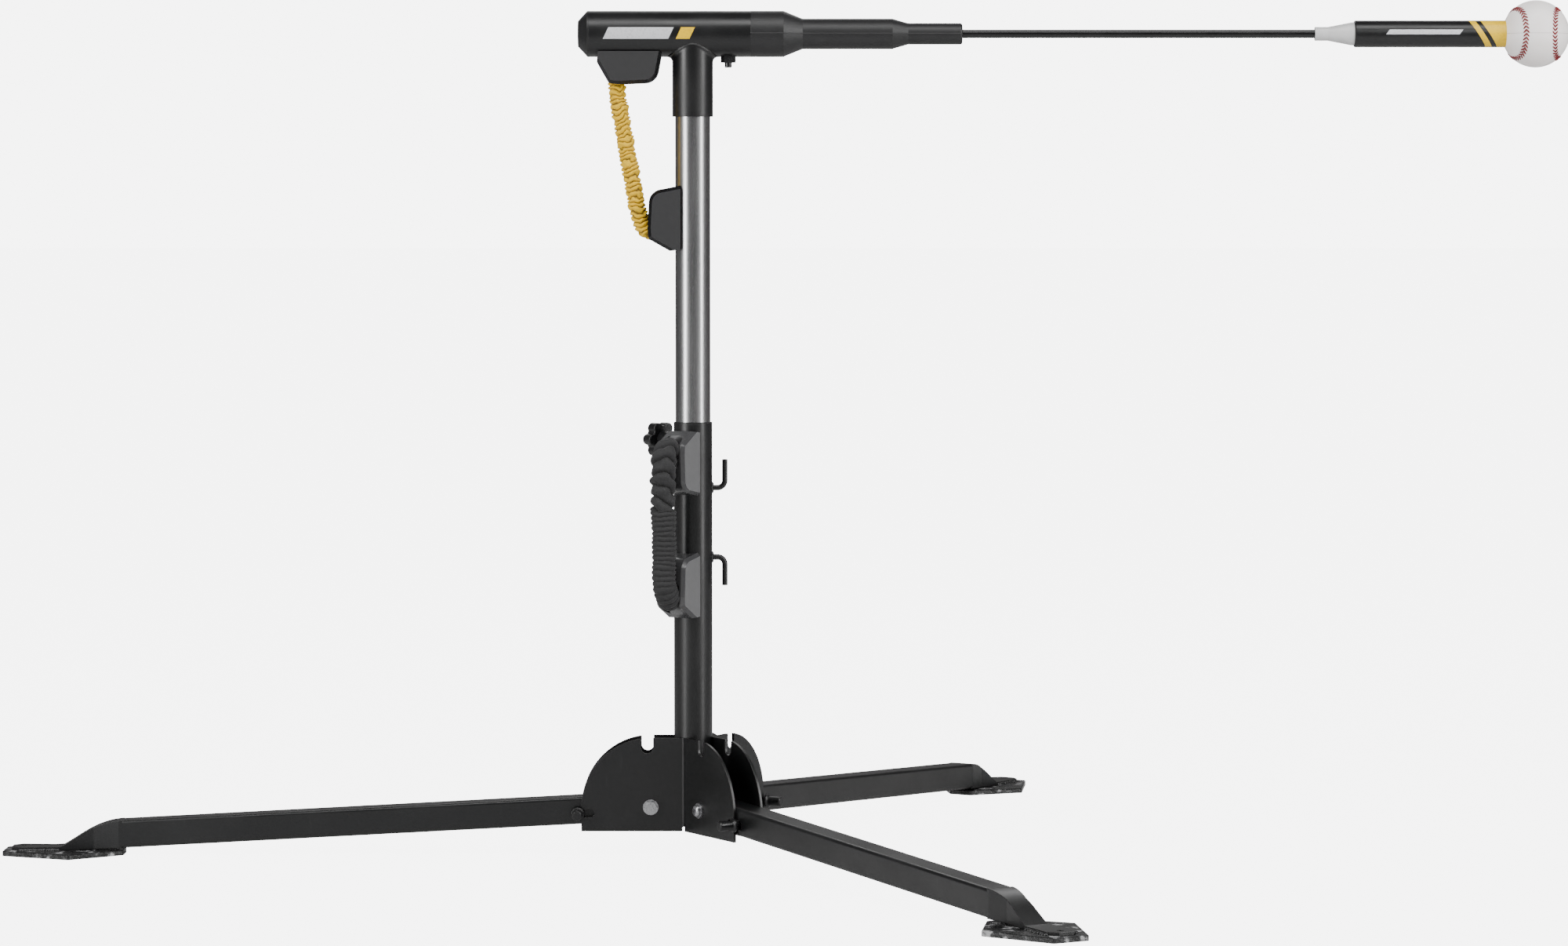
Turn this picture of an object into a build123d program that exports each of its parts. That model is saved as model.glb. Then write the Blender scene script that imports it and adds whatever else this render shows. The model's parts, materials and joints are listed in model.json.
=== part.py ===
from build123d import *
from math import cos, radians, sin, tan
import os

os.makedirs("parts", exist_ok=True)

# spinning-arm batting tee, millimetres, floor at z = 0
# the column axis stands off the origin so that the whole tee is centred on it

# floor plates and legs
leg_azimuths = {"rear": 60, "left": 180, "front": 300}
leg_size = 30.0
leg_wall = 1.6
leg_corner = 3.5
leg_slope = 3.0
leg_flat_start = 630.0
leg_flat_end = 694.0
tongue_thickness = 3.6
tongue_tip = 748.0
tongue_half = 13.5
tongue_flare = 4.0
tongue_clip = 9.0
foot_thickness = 5.5
foot_heel = 625.0
foot_heel_half = 14.0
foot_widest = 680.0
foot_widest_half = 55.0
foot_tip = 757.0
foot_tip_half = 20.5
stake_hole_d = 7.0
stake_hole_reach = 737.0

# fold bracket
sheet_thickness = 3.0
sheet_gap = 0.3
sheet_bottom = 27.0
pivot_reach = 46.4
pivot_over_leg = 38.5
bracket_radius = 76.0
bolt_d = 8.0
bolt_fit = 0.05
washer_d = 17.0
washer_thickness = 1.5
bolt_head_d = 13.0
bolt_head_height = 5.0
bolt_head_round = 3.2
nut_size = 13.0
nut_height = 6.5
top_notch_width = 13.5
top_notch_depth = 17.0
top_notch_offset = 4.0
relief = 5.0

# lock pins, drawn out of their notches
pin_d = 8.0
pin_drop = 3.0
pin_seat = 66.4
pin_drawn = 14.0
pin_over_travel = 3.0
pin_play = 0.5
collar_d = 15.0
collar_length = 4.0
grip_d = 11.0
grip_length = 16.0
carrier_behind = 26.0
carrier_ahead = 12.0
carrier_play = 0.3

# column and clamp
column_over_mast = 3.9
column_wall = 1.2
column_top = 473.0
column_lift = 5.0
bush_lip = 2.0
bush_sleeve = 9.0
slide_fit = 0.05
clamp_azimuth = 130
clamp_height = 454.0
boss_d = 18.0
boss_end = 33.0
stud_d = 8.0
knob_face = 51.0
knob_thickness = 13.0
knob_core_d = 30.0
knob_lobe_d = 12.0
knob_lobe_circle = 28.0
knob_lobes = 6
hub_d = 19.0
hook_rod_d = 6.0
hook_height_upper = 403.0
hook_height_lower = 327.0
hook_reach = 34.8
hook_rise = 31.0
hook_bend = 8.0

# band holders and bands
holder_length = 71.0
holder_depth = 30.0
holder_width = 36.0
holder_bevel = 3.5
holder_near_round = 5.0
holder_far_round = 15.0
pocket_width = 25.0
pocket_start = 4.5
pocket_end = 42.0
pocket_depth = 17.0
spare_azimuth = 240
spare_upper_end = 466.0
spare_lower_end = 262.0
spare_band_d = 21.0
return_band_d = 18.0
mast_holder_drop = 236.0
head_holder_end = -104.0

# mast and head
mast_od = 38.1
mast_wall = 1.6
mast_bottom = 318.0
mast_top_drop = 37.0
mast_cap_height = 4.0
tee_over_mast = 6.1
tee_wall = 1.6
tee_drop = 90.0
tee_fillet = 6.0
head_bush_height = 14.0
arm_height = 898.0
head_over_tee = 5.8
head_wall = 2.0
head_rear = -113.0
head_front = 63.6
cap_length = 11.8
cap_flat_d = 28.0
cap_plug = 14.0

# flexible arm
boot_collar_end = 99.0
boot_step = 120.0
boot_mid_d = 33.0
boot_mid_end = 217.7
boot_taper_end = 234.8
boot_tip_d = 23.2
boot_end = 294.0
boot_plug = 36.0
rod_d = 9.0
rod_start = 80.0
ferrule_length = 42.7
ferrule_neck = 14.0
ferrule_small_d = 15.0
ferrule_large_d = 25.0
sleeve_d = 29.2
sleeve_length = 165.3
sleeve_cover = 32.7
ball_d = 73.0
ball_reach = 918.7
screw_reach = 38.8
screw_d = 5.0
screw_end_d = 7.6
screw_end_drop = 36.6
nut_drop = 31.3
nut_across = 14.0

# derived places
pivot_height = leg_size / 2 + pivot_over_leg
column_od = mast_od + column_over_mast
tee_od = mast_od + tee_over_mast
head_od = tee_od + head_over_tee
mast_top = arm_height - mast_top_drop
tee_bottom = arm_height - tee_drop
mast_holder_end = arm_height - mast_holder_drop
screw_end = arm_height - screw_end_drop
nut_bottom = arm_height - nut_drop
sleeve_end = ball_reach - sleeve_cover
ferrule_end = sleeve_end - sleeve_length
ferrule_start = ferrule_end - ferrule_length
ferrule_step = ferrule_start + ferrule_neck
axis_x = (foot_tip - ball_reach - ball_d / 2) / 2
column_r = column_od / 2
column_bore = column_r - column_wall
mast_r = mast_od / 2
head_r = head_od / 2
bracket_top = pivot_height + bracket_radius
sheet_inner = leg_size / 2 + sheet_gap
sheet_outer = sheet_inner + sheet_thickness
pin_rest = pin_seat + pin_drawn
carrier_half = leg_size / 2 - leg_wall - carrier_play
ball_r = ball_d / 2


def level(height, turn=0):
    out = (cos(radians(turn)), sin(radians(turn)), 0)
    return Plane(origin=(axis_x, 0, height), x_dir=out, z_dir=(0, 0, 1))


def upright(turn):
    c = cos(radians(turn))
    s = sin(radians(turn))
    return Plane(origin=(axis_x, 0, 0), x_dir=(c, s, 0), z_dir=(s, -c, 0))


def facing(turn, reach, height):
    c = cos(radians(turn))
    s = sin(radians(turn))
    return Plane(
        origin=(axis_x + c * reach, s * reach, height), x_dir=(-s, c, 0), z_dir=(c, s, 0)
    )


def across(reach):
    return Plane(origin=(axis_x + reach, 0, arm_height), x_dir=(0, 1, 0), z_dir=(1, 0, 0))


def leg_frame(turn):
    c = cos(radians(turn))
    s = sin(radians(turn))
    down = radians(leg_slope)
    return Plane(
        origin=(axis_x + c * pivot_reach, s * pivot_reach, pivot_height),
        x_dir=(c * cos(down), s * cos(down), -sin(down)),
        z_dir=(s, -c, 0),
    )


arm_axis = Axis((axis_x, 0, arm_height), (1, 0, 0))


def save(block, name):
    block.part.label = name
    export_step(block.part, "parts/" + name + ".step")


def smooth_radii(points):
    """Largest fillet radii that leave some straight between neighbouring bends."""
    radii = []
    for a, b, c in zip(points, points[1:], points[2:]):
        run_in = Vector(*b) - Vector(*a)
        run_out = Vector(*c) - Vector(*b)
        turn = run_in.get_angle(run_out)
        radii.append(0.45 * min(run_in.length, run_out.length) / tan(radians(turn / 2)))
    return radii


# ---- column
with BuildPart() as column_bush:
    with BuildSketch(level(column_top)):
        Circle(column_r)
    extrude(amount=bush_lip)
    chamfer(column_bush.edges().group_by(Axis.Z)[-1], 0.5)
    with BuildSketch(level(column_top)):
        Circle(column_bore)
    extrude(amount=-bush_sleeve)
    with BuildSketch(level(column_top - bush_sleeve)):
        Circle(mast_r + slide_fit)
    extrude(amount=bush_sleeve + bush_lip, mode=Mode.SUBTRACT)
save(column_bush, "column_bush")

# ---- fold bracket, three folded sheets between three legs
def sheet_outline(turn, side):
    with BuildPart() as outline:
        with BuildSketch(upright(turn)):
            with BuildLine():
                Polyline(
                    (0, sheet_bottom),
                    (pivot_reach + bracket_radius, sheet_bottom),
                    (pivot_reach + bracket_radius, pivot_height),
                )
                RadiusArc(
                    (pivot_reach + bracket_radius, pivot_height),
                    (pivot_reach, bracket_top),
                    -bracket_radius,
                )
                Polyline((pivot_reach, bracket_top), (0, bracket_top), (0, sheet_bottom))
            make_face()
            with Locations((pivot_reach, pivot_height)):
                Circle(bolt_d / 2 + bolt_fit, mode=Mode.SUBTRACT)
            with Locations((pivot_reach + top_notch_offset, bracket_top)):
                Rectangle(top_notch_width, 2 * top_notch_depth - top_notch_width, mode=Mode.SUBTRACT)
            with Locations(
                (
                    pivot_reach + top_notch_offset,
                    bracket_top - top_notch_depth + top_notch_width / 2,
                )
            ):
                Circle(top_notch_width / 2, mode=Mode.SUBTRACT)
        extrude(amount=side * leg_size)
        with BuildSketch(leg_frame(turn)):
            with Locations((pin_seat, -pin_drop)):
                Circle(pin_d / 2 + pin_play / 2)
            with Locations((pin_seat + pin_drawn, -pin_drop)):
                Rectangle(2 * pin_drawn, pin_d + pin_play)
        extrude(amount=side * leg_size, mode=Mode.SUBTRACT)
    return outline


def sheet(fold):
    first = sheet_outline(fold - 60, -1)
    second = sheet_outline(fold + 60, 1)
    reach = pivot_reach + bracket_radius + 2
    arm_in = sheet_inner / sin(radians(60))
    arm_out = sheet_outer / sin(radians(60))
    run = (cos(radians(60)) * reach, sin(radians(60)) * reach)
    with BuildPart() as both:
        with BuildSketch(level(sheet_bottom, fold)):
            with BuildLine():
                Polyline(
                    (arm_in, 0),
                    (arm_in + run[0], run[1]),
                    (arm_out + run[0], run[1]),
                    (arm_out, 0),
                    (arm_out + run[0], -run[1]),
                    (arm_in + run[0], -run[1]),
                    (arm_in, 0),
                )
            make_face()
        extrude(amount=bracket_top - sheet_bottom)
        vertical = both.edges().filter_by(Axis.Z)
        outward = level(0, fold)
        fold_edges = vertical.filter_by(
            lambda e: abs(outward.to_local_coords(e.center()).Y) < 0.1
        )
        outer = fold_edges.sort_by(lambda e: outward.to_local_coords(e.center()).X)[-1]
        fillet(outer, sheet_thickness)
        with BuildSketch(level(sheet_bottom, fold)):
            with Locations((arm_out, 0)):
                Rectangle(2 * sheet_thickness + 3, relief)
        extrude(amount=relief, mode=Mode.SUBTRACT)
    with BuildPart() as shape:
        add(first.part)
        add(second.part)
        add(both.part, mode=Mode.INTERSECT)
    return shape


bracket_right = sheet(0)
save(bracket_right, "bracket_sheet_right")
bracket_rear = sheet(120)
save(bracket_rear, "bracket_sheet_rear")
bracket_front = sheet(240)
save(bracket_front, "bracket_sheet_front")

# the column stands over the bracket, notched where the folded sheets pass through its wall
with BuildPart() as column_tube:
    with BuildSketch(level(sheet_bottom + column_lift)):
        Circle(column_r)
        Circle(column_bore, mode=Mode.SUBTRACT)
    extrude(amount=column_top - sheet_bottom - column_lift)
    with BuildSketch(facing(clamp_azimuth, 0, clamp_height)):
        Circle(stud_d / 2 + 0.3)
    extrude(amount=column_od, mode=Mode.SUBTRACT)
    for folded in (bracket_right, bracket_rear, bracket_front):
        add(folded.part, mode=Mode.SUBTRACT)
    # what is left outside the sheets below their tops falls away
    for fold in (0, 120, 240):
        with BuildSketch(level(sheet_bottom, fold)):
            Polygon(
                (sheet_outer / sin(radians(60)) - 1.5, 0),
                (column_od, column_od * tan(radians(60)) - sheet_outer * tan(radians(60))),
                (column_od, sheet_outer * tan(radians(60)) - column_od * tan(radians(60))),
                align=None,
            )
        extrude(amount=bracket_top - sheet_bottom, mode=Mode.SUBTRACT)
save(column_tube, "column_tube")

# ---- pivot fasteners, one set to a leg
with BuildPart() as pivot_bolts:
    for turn in leg_azimuths.values():
        with BuildSketch(upright(turn).offset(-sheet_outer - washer_thickness - nut_height - 1)):
            with Locations((pivot_reach, pivot_height)):
                Circle(bolt_d / 2)
        extrude(amount=2 * (sheet_outer + washer_thickness) + nut_height + 1)
        with BuildSketch(upright(turn).offset(sheet_outer + washer_thickness)):
            with Locations((pivot_reach, pivot_height)):
                Circle(bolt_head_d / 2)
        extrude(amount=bolt_head_height)
        with BuildSketch(upright(turn).offset(sheet_outer + washer_thickness + bolt_head_height)):
            with Locations((pivot_reach, pivot_height)):
                RegularPolygon(2.9, 6)
        extrude(amount=-3, mode=Mode.SUBTRACT)
    crowns = pivot_bolts.edges().filter_by(
        lambda e: e.geom_type == GeomType.CIRCLE and e.radius > bolt_head_d / 2 - 0.1
    )
    crowns = crowns.filter_by(
        lambda e: any(
            upright(turn).to_local_coords(e.arc_center).Z
            > sheet_outer + washer_thickness + bolt_head_height - 0.1
            and abs(upright(turn).to_local_coords(e.arc_center).X - pivot_reach) < 0.1
            for turn in leg_azimuths.values()
        )
    )
    fillet(crowns, bolt_head_round)
save(pivot_bolts, "pivot_bolts")

with BuildPart() as pivot_washers:
    for turn in leg_azimuths.values():
        for start in (sheet_outer, -sheet_outer - washer_thickness):
            with BuildSketch(upright(turn).offset(start)):
                with Locations((pivot_reach, pivot_height)):
                    Circle(washer_d / 2)
                    Circle(bolt_d / 2 + bolt_fit, mode=Mode.SUBTRACT)
            extrude(amount=washer_thickness)
save(pivot_washers, "pivot_washers")

with BuildPart() as pivot_nuts:
    for turn in leg_azimuths.values():
        with BuildSketch(upright(turn).offset(-sheet_outer - washer_thickness - nut_height)):
            with Locations((pivot_reach, pivot_height)):
                RegularPolygon(nut_size / 2, 6, major_radius=False)
                Circle(bolt_d / 2 + bolt_fit, mode=Mode.SUBTRACT)
        extrude(amount=nut_height)
save(pivot_nuts, "pivot_nuts")


# ---- legs: square tube, flattened at its outer end, on a floor plate
def leg(turn):
    run = 1 / cos(radians(leg_slope))
    inner_end = -leg_size / 2 - 4.0
    tube_end = (leg_flat_start - pivot_reach) * run
    top_drop = (leg_flat_start - pivot_reach) * tan(radians(leg_slope))
    half_tall = leg_size / 2 / cos(radians(leg_slope))
    join_top = pivot_height - top_drop + half_tall
    join_bottom = pivot_height - top_drop - half_tall
    tongue_top = foot_thickness + tongue_thickness
    down = radians(leg_slope)
    meet = leg_flat_start + (join_bottom - foot_thickness) / tan(down)
    with BuildPart() as shape:
        frame = leg_frame(turn)
        start = Plane(
            origin=frame.from_local_coords((inner_end, 0, 0)), x_dir=frame.z_dir, z_dir=frame.x_dir
        )
        with BuildSketch(start):
            RectangleRounded(leg_size, leg_size, leg_corner)
        extrude(amount=tube_end - inner_end)
        with BuildSketch(upright(turn)):
            with BuildLine():
                Polyline(
                    (leg_flat_start - 3, join_top + 3 * tan(down)),
                    (leg_flat_start - 3, join_bottom + 3 * tan(down)),
                    (meet, foot_thickness),
                    (tongue_tip, foot_thickness),
                    (tongue_tip, tongue_top),
                    (leg_flat_end, tongue_top),
                )
                Spline(
                    (leg_flat_end, tongue_top),
                    (leg_flat_start - 3, join_top + 3 * tan(down)),
                    tangents=[(-1, 0.55), (-1, tan(down))],
                )
            make_face()
        extrude(amount=tongue_half + tongue_flare, both=True)
        # plan outline of the pinched end
        with BuildSketch(level(0, turn)):
            with Locations((leg_flat_start + 60, 0)):
                Rectangle(160, 2 * leg_size)
            with BuildLine():
                Polyline(
                    (leg_flat_start - 30, leg_size / 2),
                    (leg_flat_start, leg_size / 2),
                    (leg_flat_start + 28, leg_size / 2 - 3.5),
                    (leg_flat_end, tongue_half),
                    (tongue_tip - tongue_clip, tongue_half + tongue_flare),
                    (tongue_tip, tongue_half + tongue_flare - tongue_clip),
                    (tongue_tip, tongue_clip - tongue_flare - tongue_half),
                    (tongue_tip - tongue_clip, -tongue_half - tongue_flare),
                    (leg_flat_end, -tongue_half),
                    (leg_flat_start + 28, 3.5 - leg_size / 2),
                    (leg_flat_start, -leg_size / 2),
                    (leg_flat_start - 30, -leg_size / 2),
                    (leg_flat_start - 30, leg_size / 2),
                )
            make_face(mode=Mode.SUBTRACT)
        extrude(amount=3 * leg_size, mode=Mode.SUBTRACT)
        # hollow
        with BuildSketch(start):
            RectangleRounded(
                leg_size - 2 * leg_wall, leg_size - 2 * leg_wall, leg_corner - leg_wall
            )
        extrude(amount=tube_end - inner_end - 8, mode=Mode.SUBTRACT)
        # pivot hole and lock pin slot
        with BuildSketch(frame):
            Circle(bolt_d / 2 + bolt_fit)
            with Locations((pin_seat + (pin_drawn + pin_over_travel) / 2, -pin_drop)):
                SlotCenterToCenter(pin_drawn + pin_over_travel + pin_play, pin_d + pin_play)
        extrude(amount=leg_size, both=True, mode=Mode.SUBTRACT)
        with BuildSketch(level(0, turn)):
            with Locations((stake_hole_reach, 0)):
                Circle(stake_hole_d / 2)
        extrude(amount=leg_size, mode=Mode.SUBTRACT)
    return shape


def foot(turn):
    with BuildPart() as shape:
        with BuildSketch(level(0, turn)):
            Polygon(
                (foot_heel, foot_heel_half),
                (foot_heel, -foot_heel_half),
                (foot_widest, -foot_widest_half),
                (foot_tip, -foot_tip_half),
                (foot_tip, foot_tip_half),
                (foot_widest, foot_widest_half),
                align=None,
            )
        extrude(amount=foot_thickness)
        fillet(shape.edges().filter_by(Axis.Z), 4)
        chamfer(shape.edges().group_by(Axis.Z)[-1], 0.6)
        with BuildSketch(level(0, turn)):
            with Locations((stake_hole_reach, 0)):
                Circle(stake_hole_d / 2)
        extrude(amount=foot_thickness, mode=Mode.SUBTRACT)
    return shape


def lock_pin(turn):
    half = sheet_outer + 0.5
    with BuildPart() as shape:
        with BuildSketch(leg_frame(turn)):
            with Locations((pin_rest, -pin_drop)):
                Circle(pin_d / 2)
        extrude(amount=half + 1, both=True)
        frame = leg_frame(turn)
        behind = Plane(
            origin=frame.from_local_coords((pin_rest - carrier_behind, 0, 0)),
            x_dir=frame.z_dir,
            z_dir=frame.x_dir,
        )
        with BuildSketch(behind):
            RectangleRounded(2 * carrier_half, 2 * carrier_half, leg_corner)
        extrude(amount=carrier_behind + carrier_ahead)
        for side in (1, -1):
            with BuildSketch(leg_frame(turn).offset(side * half)):
                with Locations((pin_rest, -pin_drop)):
                    Circle(collar_d / 2)
            extrude(amount=side * collar_length)
            with BuildSketch(leg_frame(turn).offset(side * (half + collar_length))):
                with Locations((pin_rest, -pin_drop)):
                    Circle(grip_d / 2)
            extrude(amount=side * grip_length)
        rims = shape.edges().filter_by(GeomType.CIRCLE)
        chamfer(rims.filter_by(lambda e: e.radius > pin_d / 2 + 0.1), 0.9)
    return shape


for name, turn in leg_azimuths.items():
    leg_part = leg(turn)
    save(leg_part, "leg_" + name)
    foot_part = foot(turn)
    save(foot_part, "foot_" + name)
    pin_part = lock_pin(turn)
    save(pin_part, "lock_pin_" + name)

# ---- clamp on the column
with BuildPart() as clamp_boss:
    with BuildSketch(facing(clamp_azimuth, column_r - 3, clamp_height)):
        Circle(boss_d / 2)
    extrude(amount=boss_end - column_r + 3)
    outward = level(0, clamp_azimuth)
    boss_face = clamp_boss.faces().sort_by(lambda f: outward.to_local_coords(f.center()).X)[-1]
    chamfer(boss_face.edges(), 1)
    with BuildSketch(level(clamp_height - boss_d)):
        Circle(column_r)
    extrude(amount=2 * boss_d, mode=Mode.SUBTRACT)
    with BuildSketch(facing(clamp_azimuth, 0, clamp_height)):
        Circle(stud_d / 2 + slide_fit)
    extrude(amount=2 * boss_end, mode=Mode.SUBTRACT)
save(clamp_boss, "clamp_boss")

with BuildPart() as knob_stud:
    with BuildSketch(facing(clamp_azimuth, mast_r + 0.3, clamp_height)):
        Circle(stud_d / 2)
    extrude(amount=knob_face + 4 - mast_r - 0.3)
save(knob_stud, "knob_stud")

with BuildPart() as star_knob:
    with BuildSketch(facing(clamp_azimuth, knob_face, clamp_height)) as star:
        Circle(knob_core_d / 2)
        with PolarLocations(knob_lobe_circle / 2, knob_lobes):
            Circle(knob_lobe_d / 2)
        fillet(star.vertices(), 2.5)
    extrude(amount=knob_thickness)
    fillet(star_knob.faces().filter_by(GeomType.PLANE).edges(), 1.6)
    with BuildSketch(facing(clamp_azimuth, boss_end + 1.5, clamp_height)):
        Circle(hub_d / 2)
    extrude(amount=knob_face - boss_end)
    with BuildSketch(facing(clamp_azimuth, 0, clamp_height)):
        Circle(stud_d / 2)
    extrude(amount=knob_face + 4, mode=Mode.SUBTRACT)
save(star_knob, "star_knob")

# ---- hooks
with BuildPart() as hooks:
    for height, rise in ((hook_height_upper, hook_rise), (hook_height_lower, -hook_rise)):
        with BuildLine(upright(0)) as rod_path:
            FilletPolyline(
                (column_r - 2, height), (hook_reach, height), (hook_reach, height + rise),
                radius=hook_bend,
            )
        with BuildSketch(facing(0, column_r - 2, height)):
            Circle(hook_rod_d / 2)
        sweep(path=rod_path.wires()[0])
    with BuildSketch(level(hook_height_lower - hook_rise)):
        Circle(column_r)
    extrude(amount=hook_height_upper - hook_height_lower + 2 * hook_rise, mode=Mode.SUBTRACT)
save(hooks, "hooks")


# ---- band holders: one moulding used four times, on a tube of the given radius
def holder(plane, tube_r):
    """plane's x runs out from the tube axis and its y along the tube from the band's end."""
    with BuildPart() as shape:
        with BuildSketch(plane) as side:
            Polygon(
                (tube_r - 6, 1.5),
                (tube_r + 6, 0),
                (tube_r + holder_depth - 1, 13),
                (tube_r + holder_depth, 24),
                (tube_r + holder_depth - 2, holder_length - 6.5),
                (tube_r - 6, holder_length),
                align=None,
            )
            fillet(side.vertices().sort_by(Axis.Y)[2:4], holder_near_round)
            fillet(side.vertices().sort_by(Axis.Y)[-2], holder_far_round)
        extrude(amount=holder_width / 2, both=True)
        rim = shape.faces().filter_by(lambda f: abs(f.normal_at().dot(plane.z_dir)) > 0.99)
        outside = rim.edges().filter_by(lambda e: plane.to_local_coords(e.center()).X > tube_r)
        chamfer(outside, holder_bevel)
        mid = Plane(
            origin=plane.from_local_coords((0, 0, 0)), x_dir=plane.z_dir, z_dir=plane.y_dir
        )
        with BuildSketch(mid):
            Circle(tube_r)
        extrude(amount=holder_length, mode=Mode.SUBTRACT)
        mouth = Plane(
            origin=plane.from_local_coords((tube_r + holder_depth + 1, 0, 0)),
            x_dir=plane.y_dir,
            z_dir=plane.x_dir,
        )
        with BuildSketch(mouth):
            with Locations(((pocket_start + pocket_end) / 2, 0)):
                RectangleRounded(pocket_end - pocket_start, pocket_width, 8)
        extrude(amount=-pocket_depth, mode=Mode.SUBTRACT)
    return shape


def standing(turn, end, up):
    base = upright(turn)
    return Plane(
        origin=(axis_x, 0, end), x_dir=base.x_dir, z_dir=base.z_dir if up else -base.z_dir
    )


spare_upper = holder(standing(spare_azimuth, spare_upper_end, False), column_r)
save(spare_upper, "spare_holder_upper")
spare_lower = holder(standing(spare_azimuth, spare_lower_end, True), column_r)
save(spare_lower, "spare_holder_lower")
mast_holder = holder(standing(180, mast_holder_end, True), mast_r)
save(mast_holder, "mast_band_holder")
under_head = Plane(
    origin=(axis_x + head_holder_end, 0, arm_height), x_dir=(0, 0, -1), z_dir=(0, -1, 0)
)
head_holder = holder(under_head, head_r)
save(head_holder, "head_band_holder")

# ---- bands
spare_points = [
    (45, 451), (55, 448), (63, 435), (64, 400), (60, 336), (62.5, 308), (58, 289), (45, 280),
]
spare_radii = smooth_radii(spare_points)
print("spare band radii", [round(r, 1) for r in spare_radii])
with BuildPart() as spare_band:
    with BuildLine(upright(spare_azimuth)) as spare_path:
        FilletPolyline(*spare_points, radius=spare_radii)
    with BuildSketch(Plane(origin=spare_path.wires()[0] @ 0, z_dir=spare_path.wires()[0] % 0)):
        Circle(spare_band_d / 2)
    sweep(path=spare_path.wires()[0])
save(spare_band, "spare_band")

return_points = [
    (84.5, arm_height - 41),
    (83.5, arm_height - 60),
    (60.5, mast_holder_end + 44),
    (54.5, mast_holder_end + 25),
    (43, mast_holder_end + 17),
]
return_radii = smooth_radii(return_points)
print("return band radii", [round(r, 1) for r in return_radii])
with BuildPart() as return_band:
    with BuildLine(upright(180)) as return_path:
        FilletPolyline(*return_points, radius=return_radii)
    with BuildSketch(Plane(origin=return_path.wires()[0] @ 0, z_dir=return_path.wires()[0] % 0)):
        Circle(return_band_d / 2)
    sweep(path=return_path.wires()[0])
save(return_band, "return_band")

# ---- mast
with BuildPart() as mast_tube:
    with BuildSketch(level(mast_bottom)):
        Circle(mast_r)
        Circle(mast_r - mast_wall, mode=Mode.SUBTRACT)
    extrude(amount=mast_top - mast_bottom)
save(mast_tube, "mast_tube")

with BuildPart() as mast_cap:
    with BuildSketch(level(mast_top)):
        Circle(mast_r)
    extrude(amount=mast_cap_height)
    with BuildSketch(level(mast_top)):
        Circle(mast_r - mast_wall)
    extrude(amount=-12)
save(mast_cap, "mast_cap")

# ---- head
with BuildPart() as tee_sleeve:
    with BuildSketch(level(tee_bottom)):
        Circle(tee_od / 2)
    extrude(amount=arm_height - tee_bottom)
    with BuildSketch(across(-60)):
        Circle(head_r)
    extrude(amount=120)
    seam = tee_sleeve.edges().filter_by(
        lambda e: e.geom_type not in (GeomType.CIRCLE, GeomType.LINE)
    )
    fillet(seam, tee_fillet)
    with BuildSketch(across(-61)):
        Circle(head_r)
    extrude(amount=122, mode=Mode.SUBTRACT)
    with BuildSketch(level(tee_bottom)):
        Circle(tee_od / 2 - tee_wall)
    extrude(amount=mast_top + mast_cap_height + 0.1 - tee_bottom, mode=Mode.SUBTRACT)
save(tee_sleeve, "tee_sleeve")

with BuildPart() as head_bushes:
    for start in (tee_bottom + 1, mast_top - head_bush_height - 2):
        with BuildSketch(level(start)):
            Circle(tee_od / 2 - tee_wall)
            Circle(mast_r + slide_fit, mode=Mode.SUBTRACT)
        extrude(amount=head_bush_height)
save(head_bushes, "head_bushes")

with BuildPart() as head_tube:
    with BuildSketch(across(head_rear)):
        Circle(head_r)
        Circle(head_r - head_wall, mode=Mode.SUBTRACT)
    extrude(amount=head_front - head_rear)
    with BuildSketch(level(arm_height)):
        with Locations((screw_reach, 0)):
            Circle(screw_d / 2 + 0.2)
    extrude(amount=-head_od, mode=Mode.SUBTRACT)
save(head_tube, "head_tube")

with BuildPart() as head_cap:
    with BuildSketch(upright(0)):
        Polygon(
            (head_rear + cap_plug, arm_height),
            (head_rear + cap_plug, arm_height + head_r - head_wall),
            (head_rear, arm_height + head_r - head_wall),
            (head_rear, arm_height + head_r),
            (head_rear - 1.6, arm_height + head_r),
            (head_rear - cap_length, arm_height + cap_flat_d / 2),
            (head_rear - cap_length, arm_height),
            align=None,
        )
    revolve(axis=arm_axis)
save(head_cap, "head_cap")

# ---- flexible arm
with BuildPart() as arm_boot:
    with BuildSketch(upright(0)):
        Polygon(
            (head_front - boot_plug, arm_height),
            (head_front - boot_plug, arm_height + head_r - head_wall),
            (head_front, arm_height + head_r - head_wall),
            (head_front, arm_height + head_r),
            (boot_collar_end, arm_height + head_r),
            (boot_step, arm_height + boot_mid_d / 2),
            (boot_mid_end, arm_height + boot_mid_d / 2),
            (boot_taper_end, arm_height + boot_tip_d / 2),
            (boot_end, arm_height + boot_tip_d / 2),
            (boot_end, arm_height),
            align=None,
        )
    revolve(axis=arm_axis)
    fillet(arm_boot.edges().group_by(Axis.X)[-1], 2.5)
    with BuildSketch(across(rod_start)):
        Circle(rod_d / 2)
    extrude(amount=boot_end, mode=Mode.SUBTRACT)
    with BuildSketch(level(arm_height)):
        with Locations((screw_reach, 0)):
            Circle(screw_d / 2)
    extrude(amount=-head_od, mode=Mode.SUBTRACT)
save(arm_boot, "arm_boot")

with BuildPart() as arm_rod:
    with BuildSketch(across(rod_start)):
        Circle(rod_d / 2)
    extrude(amount=ball_reach - rod_start)
save(arm_rod, "arm_rod")

with BuildPart() as arm_ferrule:
    with BuildSketch(upright(0)):
        Polygon(
            (ferrule_start, arm_height + rod_d / 2),
            (ferrule_start, arm_height + ferrule_small_d / 2),
            (ferrule_step, arm_height + ferrule_small_d / 2),
            (ferrule_end - 3, arm_height + ferrule_large_d / 2),
            (ferrule_end, arm_height + ferrule_large_d / 2),
            (ferrule_end, arm_height + rod_d / 2),
            align=None,
        )
    revolve(axis=arm_axis)
save(arm_ferrule, "arm_ferrule")

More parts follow.
